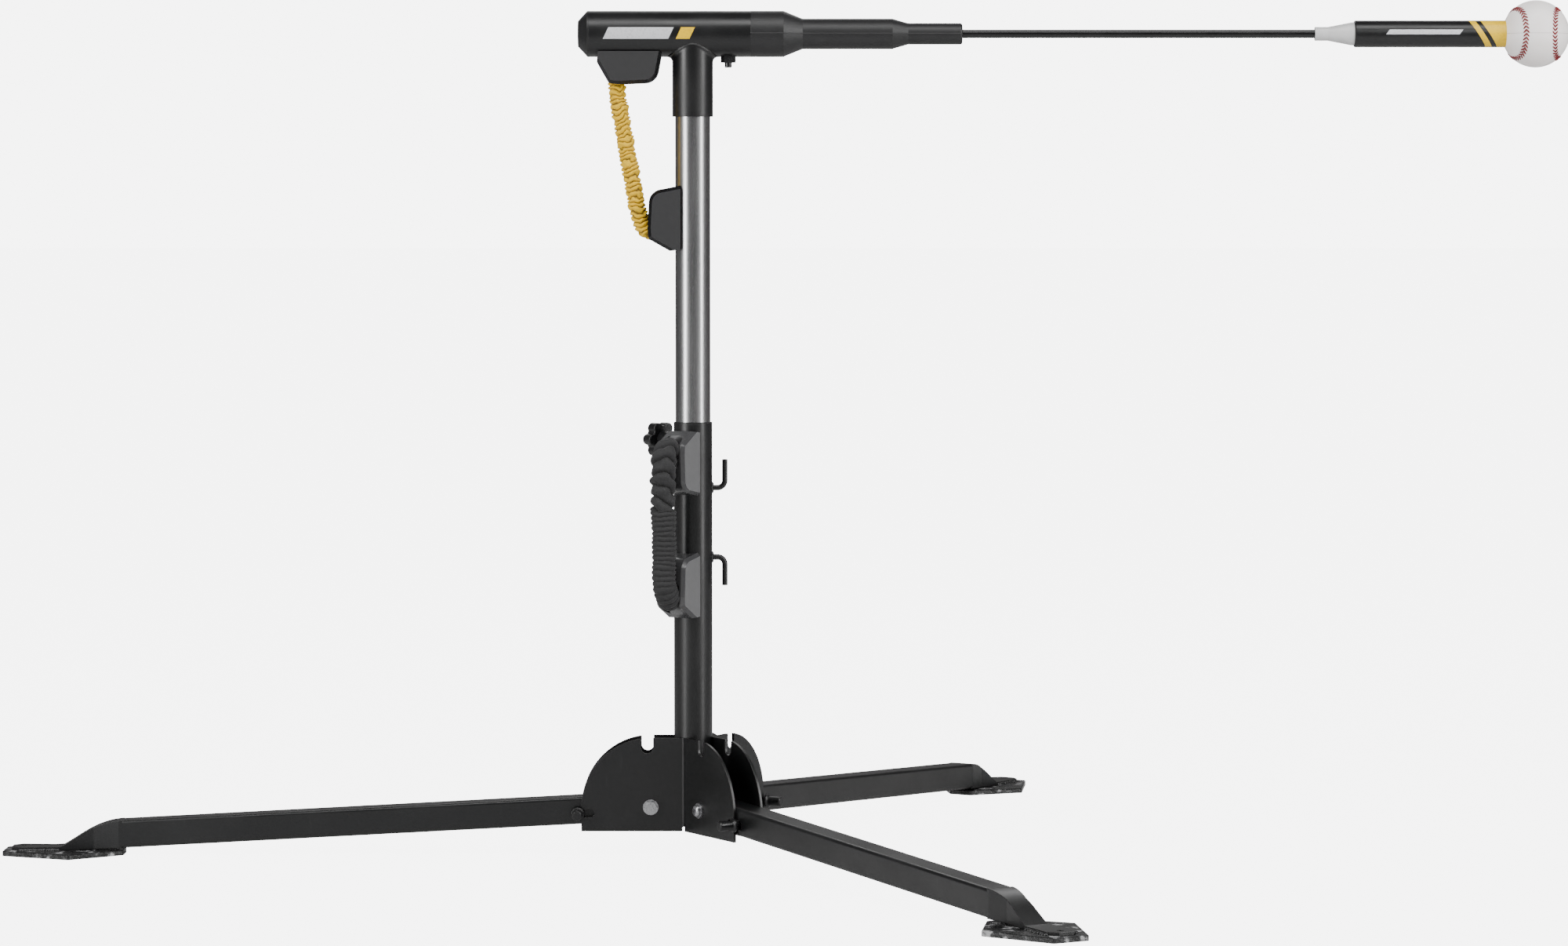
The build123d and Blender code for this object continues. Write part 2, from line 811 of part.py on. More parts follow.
ball_centre = Plane(origin=(axis_x + ball_reach, 0, arm_height))
with BuildPart() as ball_sleeve:
    with BuildSketch(across(ferrule_end)):
        Circle(sleeve_d / 2)
    extrude(amount=sleeve_end - ferrule_end)
    chamfer(ball_sleeve.edges().group_by(Axis.X)[0], 1)
    with BuildSketch(across(ferrule_end)):
        Circle(rod_d / 2)
    extrude(amount=sleeve_end - ferrule_end, mode=Mode.SUBTRACT)
    with Locations(ball_centre):
        Sphere(ball_r, mode=Mode.SUBTRACT)
save(ball_sleeve, "ball_sleeve")

with BuildPart() as ball:
    with Locations(ball_centre):
        Sphere(ball_r)
    with BuildSketch(across(ball_reach)):
        Circle(rod_d / 2)
    extrude(amount=-ball_d, mode=Mode.SUBTRACT)
save(ball, "ball")

with BuildPart() as arm_screw:
    with BuildSketch(level(screw_end)):
        with Locations((screw_reach, 0)):
            Circle(screw_end_d / 2)
    extrude(amount=nut_bottom - screw_end)
    chamfer(arm_screw.edges().group_by(Axis.Z)[0], 0.6)
    with BuildSketch(level(nut_bottom)):
        with Locations((screw_reach, 0)):
            Circle(screw_d / 2)
    extrude(amount=arm_height - nut_bottom)
save(arm_screw, "arm_screw")

with BuildPart() as arm_nut:
    with BuildSketch(level(nut_bottom)):
        with Locations((screw_reach, 0)):
            RegularPolygon(nut_across / 2, 6, major_radius=False)
    extrude(amount=arm_height - nut_bottom)
    with BuildSketch(across(0)):
        Circle(head_r)
    extrude(amount=head_front, mode=Mode.SUBTRACT)
    with BuildSketch(level(nut_bottom)):
        with Locations((screw_reach, 0)):
            Circle(screw_d / 2)
    extrude(amount=arm_height, mode=Mode.SUBTRACT)
save(arm_nut, "arm_nut")

print("column axis x", round(axis_x, 3))
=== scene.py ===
import json
import math
import bmesh
import bpy
import numpy as np
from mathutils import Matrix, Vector, noise


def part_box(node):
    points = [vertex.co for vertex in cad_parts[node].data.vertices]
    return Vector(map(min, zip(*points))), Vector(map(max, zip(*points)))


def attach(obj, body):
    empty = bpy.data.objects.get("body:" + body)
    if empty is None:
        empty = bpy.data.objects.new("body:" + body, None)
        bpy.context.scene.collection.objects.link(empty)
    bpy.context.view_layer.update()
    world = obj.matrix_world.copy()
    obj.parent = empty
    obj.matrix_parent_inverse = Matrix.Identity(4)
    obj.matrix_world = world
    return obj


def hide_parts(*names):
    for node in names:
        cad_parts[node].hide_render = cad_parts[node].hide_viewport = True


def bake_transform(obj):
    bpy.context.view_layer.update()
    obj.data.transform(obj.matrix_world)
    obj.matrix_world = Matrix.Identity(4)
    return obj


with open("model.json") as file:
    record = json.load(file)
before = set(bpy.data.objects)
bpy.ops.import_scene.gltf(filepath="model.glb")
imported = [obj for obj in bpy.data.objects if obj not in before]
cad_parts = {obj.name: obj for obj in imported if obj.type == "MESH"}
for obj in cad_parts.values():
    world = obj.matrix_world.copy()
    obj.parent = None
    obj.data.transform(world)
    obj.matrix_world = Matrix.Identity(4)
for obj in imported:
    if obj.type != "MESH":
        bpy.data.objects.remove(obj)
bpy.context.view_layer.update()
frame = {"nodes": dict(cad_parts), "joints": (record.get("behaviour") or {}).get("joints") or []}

nodes = frame["nodes"]
joints = {j["name"]: j for j in frame["joints"]}
columnX = joints["head_spin"]["pos_m"][0]
scene = bpy.context.scene
print("frame loaded, column at", round(columnX, 4))


def toLinear(hexColour):
    channels = [int(hexColour[i:i + 2], 16) / 255 for i in (1, 3, 5)]
    return [c / 12.92 if c <= 0.04045 else ((c + 0.055) / 1.055) ** 2.4 for c in channels] + [1.0]


def addNode(tree, kind, settings=None, inputs=None, links=None):
    node = tree.nodes.new(kind)
    for key, value in (settings or {}).items():
        setattr(node, key, value)
    for key, value in (inputs or {}).items():
        node.inputs[key].default_value = value
    for key, source in (links or {}).items():
        tree.links.new(source, node.inputs[key])
    return node


def newMaterial(name):
    material = bpy.data.materials.new(name)
    material.use_nodes = True
    tree = material.node_tree
    tree.nodes.clear()
    shader = addNode(tree, "ShaderNodeBsdfPrincipled")
    addNode(tree, "ShaderNodeOutputMaterial", links={"Surface": shader.outputs[0]})
    place = addNode(tree, "ShaderNodeTexCoord").outputs["Object"]
    return material, tree, shader, place


def ramp(tree, source, stops):
    node = addNode(tree, "ShaderNodeValToRGB", links={"Fac": source})
    while len(node.color_ramp.elements) < len(stops):
        node.color_ramp.elements.new(0.5)
    for element, (where, colour) in zip(node.color_ramp.elements, stops):
        element.position = where
        element.color = toLinear(colour) if isinstance(colour, str) else (colour, colour, colour, 1)
    return node.outputs["Color"]


# camera, light and floor
cameraPlan = {
    "distance": 5.5,
    "aside": 0.0996,
    "height": 0.726,
    "aimHeight": 0.419,
    "lens": 115.5,
}

cameraData = bpy.data.cameras.new("studioCamera")
cameraData.sensor_width = 36
cameraData.lens = cameraPlan["lens"]
camera = bpy.data.objects.new("studioCamera", cameraData)
scene.collection.objects.link(camera)
eyePoint = Vector((columnX + cameraPlan["aside"], -cameraPlan["distance"], cameraPlan["height"]))
aimPoint = Vector((columnX + cameraPlan["aside"], 0, cameraPlan["aimHeight"]))
camera.location = eyePoint
camera.rotation_mode = "QUATERNION"
camera.rotation_quaternion = (aimPoint - eyePoint).to_track_quat("-Z", "Y")
scene.camera = camera

studio = {
    "backdrop": 6.5,
    "fill": 0.16,
    "floorGlow": 6.2,
    "floorTint": "#d8d8d8",
    "paperGrey": 0.2,
}

world = bpy.data.worlds.new("studioWorld")
scene.world = world
world.use_nodes = True
sky = world.node_tree
sky.nodes.clear()
seen = addNode(sky, "ShaderNodeLightPath").outputs["Is Camera Ray"]
dim = addNode(sky, "ShaderNodeBackground", inputs={"Color": (1, 1, 1, 1), "Strength": studio["fill"]})
white = addNode(sky, "ShaderNodeBackground", inputs={"Color": (1, 1, 1, 1), "Strength": studio["backdrop"]})
mixed = addNode(sky, "ShaderNodeMixShader", links={0: seen, 1: dim.outputs[0], 2: white.outputs[0]})
addNode(sky, "ShaderNodeOutputWorld", links={"Surface": mixed.outputs[0]})


def addSoftbox(name, place, target, size, power):
    lightData = bpy.data.lights.new(name, "AREA")
    lightData.shape = "RECTANGLE"
    lightData.size, lightData.size_y = size
    lightData.energy = power
    light = bpy.data.objects.new(name, lightData)
    scene.collection.objects.link(light)
    light.location = place
    light.rotation_mode = "QUATERNION"
    light.rotation_quaternion = (Vector(target) - Vector(place)).to_track_quat("-Z", "Y")


softboxes = {
    "leftSoftbox": {"place": (-2.5, -1.95, 1.3), "target": (0, 0, 0.5), "size": (0.8, 2.8), "power": 100},
    "rightSoftbox": {"place": (2.7, -1.5, 1.3), "target": (0, 0, 0.5), "size": (0.6, 2.8), "power": 70},
    "topSoftbox": {"place": (0.2, -1.4, 3.2), "target": (0, 0, 0.4), "size": (3.2, 1.0), "power": 64},
    "ballSoftbox": {"place": (1.5, -1.7, 1.7), "target": (0.8, 0, 0.9), "size": (0.7, 0.7), "power": 16},
    "backSoftbox": {"place": (0.2, 2.8, 2.4), "target": (0, 0, 0.5), "size": (3.0, 1.0), "power": 26},
}
for name, box in softboxes.items():
    addSoftbox(name, **box)

floorMesh = bpy.data.meshes.new("paleFloor")
floorMesh.from_pydata([(-30, -12, 0), (30, -12, 0), (30, 60, 0), (-30, 60, 0)], [], [(0, 1, 2, 3)])
paleFloor = bpy.data.objects.new("paleFloor", floorMesh)
scene.collection.objects.link(paleFloor)
floorPaint, tree, shader, place = newMaterial("studioPaperWhite")
shader.inputs["Base Color"].default_value = toLinear(studio["floorTint"])
shader.inputs["Roughness"].default_value = 1.0
shader.inputs["Specular IOR Level"].default_value = 0.0
lit = addNode(tree, "ShaderNodeEmission", inputs={"Strength": studio["floorGlow"]})
seen = addNode(tree, "ShaderNodeLightPath").outputs["Is Camera Ray"]
paper = addNode(tree, "ShaderNodeBsdfDiffuse", inputs={"Color": (*[studio["paperGrey"]] * 3, 1)})
bright = addNode(tree, "ShaderNodeAddShader", links={0: lit.outputs[0], 1: paper.outputs[0]})
floorMix = addNode(tree, "ShaderNodeMixShader", links={0: seen, 1: shader.outputs[0], 2: bright.outputs[0]})
floorOut = [n for n in tree.nodes if n.bl_idname == "ShaderNodeOutputMaterial"][0]
tree.links.new(floorMix.outputs[0], floorOut.inputs["Surface"])
floorMesh.materials.append(floorPaint)
print("camera, softboxes and floor ready")


# materials
def bumpFrom(tree, shader, height, strength, distance, before=None):
    links = {"Height": height}
    if before is not None:
        links["Normal"] = before
    bump = addNode(tree, "ShaderNodeBump", inputs={"Strength": strength, "Distance": distance}, links=links)
    tree.links.new(bump.outputs["Normal"], shader.inputs["Normal"])
    return bump.outputs["Normal"]


def noiseAt(tree, place, size, detail=3, stretch=None):
    # size is the pattern's real size in metres
    if stretch:
        mapping = addNode(tree, "ShaderNodeMapping", inputs={"Scale": stretch}, links={"Vector": place})
        place = mapping.outputs[0]
    return addNode(
        tree, "ShaderNodeTexNoise", inputs={"Scale": 1 / size, "Detail": detail}, links={"Vector": place}
    ).outputs["Fac"]


def spread(tree, source, low, high, fromLow=0.3, fromHigh=0.7):
    return addNode(
        tree, "ShaderNodeMapRange",
        inputs={"From Min": fromLow, "From Max": fromHigh, "To Min": low, "To Max": high},
        links={"Value": source},
    ).outputs["Result"]


def satinPowderCoat():
    # black polyester powder coat on steel: satin sheen, orange peel about 1 mm, faint paler streaks running
    # up and down
    material, tree, shader, place = newMaterial("blackPowderCoatedSteel")
    peel = noiseAt(tree, place, 0.0011, 2)
    cloud = noiseAt(tree, place, 0.07, 5)
    paleStreakNoise = noiseAt(tree, place, 0.004, 6, (1, 1, 0.15))
    paleStreaks = ramp(tree, paleStreakNoise, [(0.62, "#0c0c0d"), (0.8, "#1c1c1d")])
    base = ramp(tree, cloud, [(0.35, "#09090a"), (0.7, "#0f0f10")])
    mix = addNode(tree, "ShaderNodeMix", {"data_type": "RGBA", "blend_type": "LIGHTEN"})
    mix.inputs["Factor"].default_value = 0.6
    tree.links.new(base, mix.inputs[6])
    tree.links.new(paleStreaks, mix.inputs[7])
    tree.links.new(mix.outputs[2], shader.inputs["Base Color"])
    tree.links.new(spread(tree, cloud, 0.28, 0.42), shader.inputs["Roughness"])
    edge = addNode(tree, "ShaderNodeBevel", {"samples": 6}, {"Radius": 0.0009}).outputs[0]
    bumpFrom(tree, shader, peel, 0.12, 0.0002, edge)
    return material


def weldedPlatePaint():
    # the same coat over weld spatter and grinding marks: lumpy and glossy, with painted glints: pale colour
    # on the lump tops as a painted highlight
    material, tree, shader, place = newMaterial("paintedWeldedPlate")
    lumps = noiseAt(tree, place, 0.013, 5)
    fine = noiseAt(tree, place, 0.0025, 4)
    # pale colour on the lump tops is a painted highlight, not the coat's own colour
    paintedGlint = ramp(tree, lumps, [(0.47, "#0b0b0c"), (0.57, "#333334"), (0.64, "#a4a4a5")])
    tree.links.new(paintedGlint, shader.inputs["Base Color"])
    tree.links.new(spread(tree, fine, 0.16, 0.4), shader.inputs["Roughness"])
    first = bumpFrom(tree, shader, lumps, 0.6, 0.0014)
    bumpFrom(tree, shader, fine, 0.4, 0.0006, first)
    return material


def weldMetal():
    # painted weld bead: the same black coat, glossier on the ripples
    material, tree, shader, place = newMaterial("paintedWeldBead")
    mottle = noiseAt(tree, place, 0.004)
    tree.links.new(ramp(tree, mottle, [(0.3, "#151516"), (0.7, "#242425")]), shader.inputs["Base Color"])
    shader.inputs["Roughness"].default_value = 0.26
    bumpFrom(tree, shader, noiseAt(tree, place, 0.0008, 2), 0.2, 0.0002)
    return material


def drawnSteel():
    # drawn and polished steel tube: long streaks along the tube, light flecks
    material, tree, shader, place = newMaterial("drawnBrightSteel")
    streak = noiseAt(tree, place, 0.001, 4, (1, 1, 0.006))
    fleck = noiseAt(tree, place, 0.006, 5, (1, 1, 0.05))
    shader.inputs["Metallic"].default_value = 1
    tree.links.new(ramp(tree, streak, [(0.3, "#9c9c9d"), (0.7, "#adadae")]), shader.inputs["Base Color"])
    tree.links.new(spread(tree, fleck, 0.25, 0.31), shader.inputs["Roughness"])
    bumpFrom(tree, shader, streak, 0.12, 0.0001)
    return material


def zincPlate():
    # zinc-plated fasteners: pale grey, mottled at about two millimetres
    material, tree, shader, place = newMaterial("zincPlatedSteel")
    mottle = noiseAt(tree, place, 0.0018, 4)
    shader.inputs["Metallic"].default_value = 1
    tree.links.new(ramp(tree, mottle, [(0.3, "#98989a"), (0.7, "#c4c4c6")]), shader.inputs["Base Color"])
    tree.links.new(spread(tree, mottle, 0.24, 0.4), shader.inputs["Roughness"])
    return material


def moulded(name, dark, light, roughness, grain=0.0006, relief=0.0002):
    # injection-moulded part with a spark-eroded texture
    material, tree, shader, place = newMaterial(name)
    cloud = noiseAt(tree, place, 0.03, 4)
    tree.links.new(ramp(tree, cloud, [(0.3, dark), (0.7, light)]), shader.inputs["Base Color"])
    tree.links.new(spread(tree, cloud, roughness - 0.05, roughness + 0.05), shader.inputs["Roughness"])
    bumpFrom(tree, shader, noiseAt(tree, place, grain, 2), 0.25, relief)
    return material


def holderNylon(name, sideways, face, rimShadeColour):
    # moulded nylon holder: textured grey side faces, polished rim round them; the rim's darker colour, chosen
    # by which way the surface faces, is painted shade
    material, tree, shader, place = newMaterial(name)
    normal = addNode(tree, "ShaderNodeTexCoord").outputs["Normal"]
    along = addNode(
        tree, "ShaderNodeVectorMath", {"operation": "DOT_PRODUCT"}, {1: sideways}, {0: normal}
    ).outputs["Value"]
    size = addNode(tree, "ShaderNodeMath", {"operation": "ABSOLUTE"}, links={0: along}).outputs[0]
    onFace = spread(tree, size, 0, 1, 0.93, 0.99)
    # darker colour on faces turned away from the holder's side: painted shade; the roughness change below is
    # the real polish
    tree.links.new(ramp(tree, onFace, [(0.0, rimShadeColour), (1.0, face)]), shader.inputs["Base Color"])
    tree.links.new(spread(tree, onFace, 0.24, 0.5, 0, 1), shader.inputs["Roughness"])
    bumpFrom(tree, shader, noiseAt(tree, place, 0.0007, 2), 0.25, 0.0002)
    return material


def midHeightLine(tree, place, depth, core, fade):
    # a parting line round the arm at its own height
    parts = addNode(tree, "ShaderNodeSeparateXYZ", links={0: place})
    height = parts.outputs["Z"]
    offset = addNode(tree, "ShaderNodeMath", {"operation": "SUBTRACT"}, {1: armHeight}, {0: height})
    away = addNode(tree, "ShaderNodeMath", {"operation": "ABSOLUTE"}, links={0: offset.outputs[0]}).outputs[0]
    return spread(tree, away, depth, 0, core, fade)


def bootRubber():
    # moulded rubber boot: matt, with its parting line at mid height
    material, tree, shader, place = newMaterial("mouldedBootRubber")
    cloud = noiseAt(tree, place, 0.02, 4)
    tree.links.new(ramp(tree, cloud, [(0.3, "#141415"), (0.7, "#1a1a1b")]), shader.inputs["Base Color"])
    shader.inputs["Roughness"].default_value = 0.46
    line = midHeightLine(tree, place, 1, 0.0002, 0.0006)
    first = bumpFrom(tree, shader, line, 0.6, 0.0005)
    bumpFrom(tree, shader, noiseAt(tree, place, 0.0006, 2), 0.2, 0.0002, first)
    return material


def ruchedFabric(name, ridge, fold):
    # elasticated knit sleeve: painted shade darkens the colour into the folds, driven by the fold height that
    # the mesh carries as an attribute
    material, tree, shader, place = newMaterial(name)
    depth = addNode(tree, "ShaderNodeAttribute", {"attribute_name": "foldHeight"}).outputs["Fac"]
    cloud = noiseAt(tree, place, 0.012, 4)
    lit = addNode(
        tree, "ShaderNodeMath", {"operation": "MULTIPLY_ADD"}, {1: 0.24, 2: -0.12}, {0: cloud}
    ).outputs[0]
    both = addNode(tree, "ShaderNodeMath", {"operation": "ADD"}, links={0: depth, 1: lit}).outputs[0]
    # ramp from the painted shade in the folds to the sleeve's own colour on the ridges
    tree.links.new(ramp(tree, both, [(0.16, fold), (0.66, ridge)]), shader.inputs["Base Color"])
    shader.inputs["Roughness"].default_value = 0.78
    shader.inputs["Sheen Weight"].default_value = 0.08
    shader.inputs["Sheen Roughness"].default_value = 0.5
    bumpFrom(tree, shader, noiseAt(tree, place, 0.0008, 2, (1, 1, 1.6)), 0.5, 0.0004)
    return material


def ballCoverLeather():
    # cover of the ball: off-white leather, a little grime, fine pores, and painted shade for a mould-line
    # groove at mid height
    material, tree, shader, place = newMaterial("ballCoverLeather")
    grime = noiseAt(tree, place, 0.02, 6)
    line = midHeightLine(tree, place, 0.55, 0.00015, 0.00045)
    cover = addNode(tree, "ShaderNodeMix", {"data_type": "RGBA"})
    tree.links.new(line, cover.inputs["Factor"])
    tree.links.new(ramp(tree, grime, [(0.3, "#f1eae7"), (0.7, "#f8f4f2")]), cover.inputs[6])
    # grey line at mid height: painted shade standing in for the mould-line groove
    cover.inputs[7].default_value = toLinear("#a89c97")
    tree.links.new(cover.outputs[2], shader.inputs["Base Color"])
    shader.inputs["Roughness"].default_value = 0.46
    bumpFrom(tree, shader, noiseAt(tree, place, 0.0009, 3), 0.2, 0.0002)
    return material


def printInk(name, colour, wear):
    # pad-printed ink: even colour with fine wear
    material, tree, shader, place = newMaterial(name)
    worn = noiseAt(tree, place, 0.002, 6)
    tree.links.new(ramp(tree, worn, [(0.3, wear), (0.5, colour)]), shader.inputs["Base Color"])
    shader.inputs["Roughness"].default_value = 0.4
    return material


armHeight = (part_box("arm_rod")[0][2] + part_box("arm_rod")[1][2]) / 2
spareAzimuth = 240
spareTurn = math.radians(spareAzimuth)
spareSide = (math.sin(spareTurn), -math.cos(spareTurn), 0)
paints = {
    "powder": satinPowderCoat(),
    "plate": weldedPlatePaint(),
    "weld": weldMetal(),
    "mast": drawnSteel(),
    "zinc": zincPlate(),
    "blackPlastic": moulded("blackMouldedNylon", "#0d0d0e", "#141415", 0.38),
    # the last colour of each holder is the painted shade on its rim
    "spareNylon": holderNylon("greyMouldedNylon", spareSide, "#616162", "#3d3d3e"),
    "darkNylon": holderNylon("darkMouldedNylon", (0, 1, 0), "#262627", "#08080a"),
    "palePlastic": moulded("paleMouldedAbs", "#b9b9b9", "#c9c9c9", 0.32),
    "boot": bootRubber(),
    "rod": moulded("pultrudedRod", "#0c0c0d", "#131314", 0.2, 0.0004, 0.0001),
    "sleeve": moulded("sleeveFoamRubber", "#070708", "#0c0c0d", 0.34),
    "ball": ballCoverLeather(),
    "thread": printInk("waxedStitchThread", "#74040a", "#5c0408"),
    "yellowInk": printInk("yellowPrint", "#dfb600", "#d2a800"),
    "silverInk": printInk("silverPrint", "#c4c5c8", "#b0b1b4"),
    # each sleeve's second colour is the painted shade in its folds
    "yellow": ruchedFabric("yellowElasticSleeve", "#e0b400", "#4c3200"),
    "black": ruchedFabric("blackElasticSleeve", "#1d1d1e", "#020202"),
}

finish = {
    "column_tube": "powder", "column_bush": "blackPlastic", "clamp_boss": "powder", "hooks": "powder",
    "spare_holder_upper": "spareNylon", "spare_holder_lower": "spareNylon",
    "bracket_sheet_right": "powder", "bracket_sheet_rear": "powder", "bracket_sheet_front": "powder",
    "pivot_bolts": "zinc", "pivot_washers": "zinc", "pivot_nuts": "zinc",
    "star_knob": "blackPlastic", "knob_stud": "zinc",
    "mast_tube": "mast", "mast_cap": "blackPlastic", "mast_band_holder": "darkNylon",
    "tee_sleeve": "powder", "head_tube": "powder", "head_bushes": "blackPlastic", "head_cap": "blackPlastic",
    "head_band_holder": "darkNylon", "arm_boot": "boot", "arm_rod": "rod", "arm_ferrule": "palePlastic",
    "ball_sleeve": "sleeve", "ball": "ball", "arm_screw": "weld", "arm_nut": "weld",
    "return_band": "yellow", "spare_band": "black",
}
legAzimuths = {"rear": 60, "left": 180, "front": 300}
for side in legAzimuths:
    finish["leg_" + side] = "powder"
    finish["foot_" + side] = "plate"
    finish["lock_pin_" + side] = "powder"

for nodeName, paint in finish.items():
    mesh = nodes[nodeName].data
    mesh.materials.clear()
    mesh.materials.append(paints[paint])
print("materials on the metal and plastic")


# mesh helpers
def addPiece(name, verts, faces, paint, body, smooth=True):
    mesh = bpy.data.meshes.new(name)
    mesh.from_pydata([tuple(v) for v in verts], [], faces)
    mesh.materials.append(paints[paint])
    mesh.shade_smooth() if smooth else mesh.shade_flat()
    piece = bpy.data.objects.new(name, mesh)
    scene.collection.objects.link(piece)
    if body:
        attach(piece, body)
    return piece


def readLine(name, points):
    # the smooth line that the route's points steer
    curve = bpy.data.curves.new(name, "CURVE")
    curve.dimensions = "3D"
    curve.resolution_u = 24
    spline = curve.splines.new("NURBS")
    spline.points.add(len(points) - 1)
    for target, source in zip(spline.points, points):
        target.co = (*source, 1)
    spline.order_u = 3
    spline.use_endpoint_u = True
    holder = bpy.data.objects.new(name, curve)
    scene.collection.objects.link(holder)
    bpy.context.view_layer.update()
    mesh = bpy.data.meshes.new_from_object(holder.evaluated_get(bpy.context.evaluated_depsgraph_get()))
    line = np.array([v.co[:] for v in mesh.vertices])
    bpy.data.objects.remove(holder)
    bpy.data.meshes.remove(mesh)
    return line


def spacedOut(line, step):
    runs = np.linalg.norm(np.diff(line, axis=0), axis=1)
    along = np.concatenate([[0], np.cumsum(runs)])
    count = max(8, int(round(along[-1] / step)))
    wanted = np.linspace(0, along[-1], count + 1)
    return np.stack([np.interp(wanted, along, line[:, k]) for k in range(3)], axis=1), along[-1]


def onAzimuth(turn, points):
    c, s = math.cos(math.radians(turn)), math.sin(math.radians(turn))
    return [(columnX + reach * c, reach * s, height) for reach, height in points]


# ruched bands
def ruchedBand(name, points, plan, paint, body):
    # plan["shape"] gives radius, fold spacing, fold depth and lean at a share of the length
    centre, length = spacedOut(readLine(name + "Line", points), plan["step"])
    forward = np.gradient(centre, axis=0)
    forward /= np.linalg.norm(forward, axis=1)[:, None]
    side = np.cross(forward, plan["sideOf"])
    side /= np.linalg.norm(side, axis=1)[:, None]
    lift = np.cross(side, forward)
    around = plan["around"]
    verts, heights = [], []
    total = len(centre) - 1
    for i, middle in enumerate(centre):
        s = length * i / total
        share = i / total
        ends = min(1, share / plan["endShare"], (1 - share) / plan["endShare"])
        radius, period, deep, lean = plan["shape"](share)
        for j in range(around):
            a = 2 * math.pi * j / around
            wide = noise.noise(Vector((math.cos(a) * 0.9, math.sin(a) * 0.9, s / 0.011)) + plan["seed"])
            fine = noise.noise(Vector((math.cos(a) * 2.2, math.sin(a) * 2.2, s / 0.004)) + plan["seed"])
            phase = s / period + lean * math.sin(a + s / 0.03) + plan["stray"] * wide + plan["fray"] * fine
            crest = abs(math.cos(math.pi * phase)) ** 0.7
            height = (crest - 0.45) * deep * ends
            push = radius + height + 0.5 * deep * wide
            push = push if ends >= 1 else radius * (0.86 + 0.14 * ends) + height
            heights.append(max(0.0, min(1.0, crest * (0.8 + 0.4 * fine) + 0.1)))
            verts.append(middle + (math.cos(a) * side[i] + math.sin(a) * lift[i]) * push)
    faces = []
    for i in range(total):
        for j in range(around):
            k = (j + 1) % around
            low, high = i * around, (i + 1) * around
            faces.append((low + j, high + j, high + k, low + k))
    faces.append(tuple(range(around)))
    faces.append(tuple(total * around + j for j in reversed(range(around))))
    piece = addPiece(name, verts, faces, paint, body)
    attribute = piece.data.attributes.new("foldHeight", "FLOAT", "POINT")
    attribute.data.foreach_set("value", np.array(heights, np.float32))
    work = bmesh.new()
    work.from_mesh(piece.data)
    bmesh.ops.recalc_face_normals(work, faces=work.faces)
    work.to_mesh(piece.data)
    work.free()
    return piece, centre, length


def returnShape(share):
    return 0.0077, 0.0054, 0.0036, 0.35


returnPlan = {
    "step": 0.00055,
    "around": 56,
    "sideOf": Vector((0, 1, 0)),
    "seed": Vector((3.1, 7.7, 1.9)),
    "shape": returnShape,
    "diameter": 0.018,
    "endShare": 0.04,
    "stray": 0.9,
    "fray": 0.25,
}
returnRoute = [(0.0845, 0.857), (0.0835, 0.838), (0.0605, 0.706), (0.0545, 0.687), (0.043, 0.679)]
returnPoints = onAzimuth(180, returnRoute)
returnBand, returnLine, returnLength = ruchedBand(
    "returnBandSleeve", returnPoints, returnPlan, "yellow", None
)
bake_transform(returnBand)
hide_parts("return_band")

def spareShape(share):
    # loose and deeply folded at the top, closely ribbed below
    if share < 0.42:
        return 0.0108, 0.0125, 0.0052, 0.6
    return 0.0128 + 0.0005 * math.sin(6 * share), 0.0054, 0.0018, 0.05


sparePlan = {
    "step": 0.0006,
    "around": 64,
    "sideOf": Vector((-math.sin(spareTurn), math.cos(spareTurn), 0)),
    "seed": Vector((5.4, 0.8, 4.2)),
    "shape": spareShape,
    "diameter": 0.021,
    "endShare": 0.04,
    "stray": 0.25,
    "fray": 0.06,
}
spareRoute = [
    (0.045, 0.451), (0.055, 0.448), (0.063, 0.435), (0.064, 0.400),
    (0.060, 0.336), (0.0625, 0.308), (0.058, 0.289), (0.045, 0.280),
]
sparePoints = onAzimuth(spareAzimuth, spareRoute)
spareBand, spareLine, spareLength = ruchedBand("spareBandSleeve", sparePoints, sparePlan, "black", "base")
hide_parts("spare_band")
print("bands", round(returnLength, 4), round(spareLength, 4))


